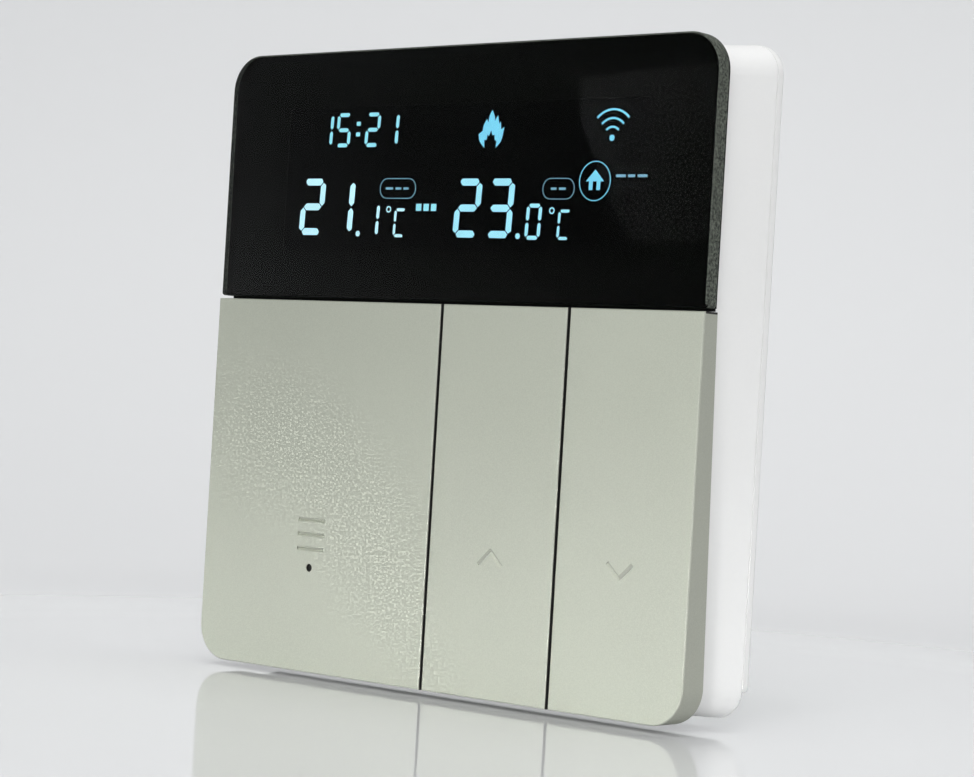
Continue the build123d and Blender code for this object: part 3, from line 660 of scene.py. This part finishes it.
def terminal_numbers():
    """Raised numbers 1 to 8 above the terminal screws, read from behind."""
    pitch = (TERMINAL_HIGH.x - TERMINAL_LOW.x) / TERMINALS
    parts = []
    for n in range(TERMINALS):
        curve = bpy.data.curves.new(f"number_{n + 1}", "FONT")
        curve.body = str(n + 1)
        curve.size = NUMBER_SIZE * MM
        curve.extrude = NUMBER_RAISE * MM
        curve.align_x = "CENTER"
        text = bpy.data.objects.new(curve.name, curve)
        x = TERMINAL_HIGH.x - (n + 0.5) * pitch
        text.matrix_world = (
            Matrix.Translation(Vector((x, BASE_HIGH.y + 0.04, TERMINAL_HIGH.z + 1.2)) * MM)
            @ Matrix.Rotation(math.pi, 4, "Z") @ Matrix.Rotation(math.pi / 2, 4, "X")
        )
        scene.collection.objects.link(text)
        bpy.context.view_layer.update()
        shape = bpy.data.meshes.new_from_object(text.evaluated_get(bpy.context.evaluated_depsgraph_get()))
        shape.transform(text.matrix_world)
        parts.append(shape)
        bpy.data.objects.remove(text)
    bm = bmesh.new()
    for shape in parts:
        bm.from_mesh(shape)
    bmesh.ops.scale(bm, vec=(1 / MM, 1 / MM, 1 / MM), verts=bm.verts)
    bmesh.ops.remove_doubles(bm, verts=bm.verts, dist=0.001)
    piece("terminal_numbers", bm, [FINISHES["white_housing"]])


def ejector_marks():
    """Shallow round marks left by the mould's ejector pins."""
    bm = bmesh.new()
    back = BASE_HIGH.y
    for x in (-19.0, 19.0):
        for z in (19.0, -7.0):
            ring(bm, arc(x, z, 1.6, 0, 350, 35), arc(x, z, 1.4, 0, 350, 35), back - 0.02, back + 0.06)
    piece("ejector_marks", bm, [FINISHES["white_housing"]])


def blank_label():
    """A plain silvery label with a printed border and empty rows."""
    back = BASE_HIGH.y
    bm = bmesh.new()
    prism(bm, rounded(-15, 15, -5.5, 18, [1.2] * 4), back + 0.01, back + 0.09)
    film = moulded("label_film", linear(206, 208, 210), 0.32, 2.5, 0.003, 0.015, 0, Metallic=0.4)
    piece("rating_label", bm, [film])
    bm = bmesh.new()
    print_depth = (back + 0.085, back + 0.11)
    ring(bm, rounded(-14.2, 14.2, -4.7, 17.2, [0.8] * 4), rounded(-14, 14, -4.5, 17, [0.7] * 4), *print_depth)
    for n in range(5):
        z = 13.0 - n * 3.6
        prism(bm, rounded(-12, 12, z - 0.09, z + 0.09, [0.05] * 4, 2), *print_depth)
    piece("label_print", bm, [moulded("label_ink", linear(40, 42, 46), 0.6, 0.2, 0.002, 0.1, 0)])


terminal_numbers()
ejector_marks()
blank_label()


# ---- stage: a pale floor that curves up into a wall all round ----
FLOOR_GAP = 0.9
BOWL_RADIUS, BOWL_CURVE, BOWL_HEIGHT = 1.6, 1.2, 2.2      # metres
BOWL_SIDES = 96


def floor_paint():
    """Polished near the object, so that it mirrors it a little, and matt further off."""
    surface = Surface("pale_floor")
    cloud = surface.noise(300)
    tone = linear(224, 225, 226)
    tint = surface.mix(surface.spread(cloud, 0, 1), scaled(tone, 0.996), scaled(tone, 1.004))
    surface.link(tint, surface.shader, "Base Color")
    away = surface.node("VectorMath", operation="LENGTH")
    surface.link(surface.place, away, 0)
    surface.link(surface.spread(away.outputs["Value"], 0.06, 0.75, 0.11, 0.24), surface.shader, "Roughness")
    return surface.material


def pale_floor():
    floor_z = cad_bounds[0].z - FLOOR_GAP * MM
    flat = BOWL_RADIUS - BOWL_CURVE
    profile = [(0.2, 0.0), (flat, 0.0)]
    for a in range(5, 91, 5):
        turn = math.radians(a)
        profile.append((flat + BOWL_CURVE * math.sin(turn), BOWL_CURVE * (1 - math.cos(turn))))
    profile.append((BOWL_RADIUS, BOWL_HEIGHT))
    bm = bmesh.new()
    centre = bm.verts.new((0, 0, floor_z))
    loops = []
    for r, z in profile:
        angles = [2 * math.pi * n / BOWL_SIDES for n in range(BOWL_SIDES)]
        loops.append([bm.verts.new((r * math.cos(a), r * math.sin(a), floor_z + z)) for a in angles])
    for n in range(BOWL_SIDES):
        m = (n + 1) % BOWL_SIDES
        bm.faces.new((centre, loops[0][n], loops[0][m]))
        for a, b in zip(loops, loops[1:]):
            bm.faces.new((a[n], b[n], b[m], a[m]))
    bmesh.ops.recalc_face_normals(bm, faces=bm.faces)
    bmesh.ops.reverse_faces(bm, faces=bm.faces)
    mesh = bpy.data.meshes.new("pale_floor")
    bm.to_mesh(mesh)
    bm.free()
    mesh.shade_smooth()
    mesh.materials.append(floor_paint())
    made = bpy.data.objects.new("pale_floor", mesh)
    scene.collection.objects.link(made)


pale_floor()


# ---- light ----
# Softboxes, in metres and watts: place, aim, power, width, height, spread in degrees.
SOFTBOXES = {
    "side": ((1.0, 0.35, 0.2), (0, 0, 0), 0.75, 0.6, 0.8, 90),
    "top": ((0.15, -0.25, 1.1), (0, 0, 0), 1.35, 0.8, 0.8, 110),
    "front": ((0.8, -1.0, 0.5), (0, 0, 0), 0.1, 0.7, 0.7, 90),
    "low": ((0.25, -0.33, 0.2), (0, 0, 0), 0.38, 0.32, 0.26, 110),
    "centre": ((-0.12, -0.55, 0.05), (0, 0, 0), 0.27, 0.25, 0.3, 120),
    "lift": ((0.12, -0.5, -0.02), (0.02, -0.014, -0.055), 0.04, 0.3, 0.03, 14),
    "wall": ((-0.1, 0.25, 1.3), (-0.9, 1.1, -0.5), 6.8, 0.9, 0.9, 120),
}
WORLD_STRENGTH = 0.19

for name, (place, aim, power, width, height, spread) in SOFTBOXES.items():
    data = bpy.data.lights.new(name, "AREA")
    data.shape = "RECTANGLE"
    data.size, data.size_y = width, height
    data.energy = power
    data.spread = math.radians(spread)
    softbox = bpy.data.objects.new(name, data)
    softbox.location = place
    softbox.rotation_euler = (Vector(aim) - Vector(place)).to_track_quat("-Z", "Y").to_euler()
    softbox.visible_camera = False
    scene.collection.objects.link(softbox)

scene.world = bpy.data.worlds.new("studio")
scene.world.use_nodes = True
sky = scene.world.node_tree.nodes["Background"]
sky.inputs["Color"].default_value = (0.985, 0.99, 1.0, 1)
sky.inputs["Strength"].default_value = WORLD_STRENGTH

# ---- camera ----
CAMERA_PLACE = Vector((236.915, -277.622, -4.317)) * MM


def add_camera():
    right = Vector((0.75497973, 0.65310024, 0.05887003))
    up = Vector((-0.04115944, -0.04240178, 0.99825247))
    back = right.cross(up)
    data = bpy.data.cameras.new("camera")
    data.lens = 98.70
    data.sensor_width = 36.0
    data.clip_start = 0.01
    data.clip_end = 10.0
    made = bpy.data.objects.new("camera", data)
    made.matrix_world = Matrix.Translation(CAMERA_PLACE) @ Matrix((right, up, back)).transposed().to_4x4()
    scene.collection.objects.link(made)
    scene.camera = made


add_camera()
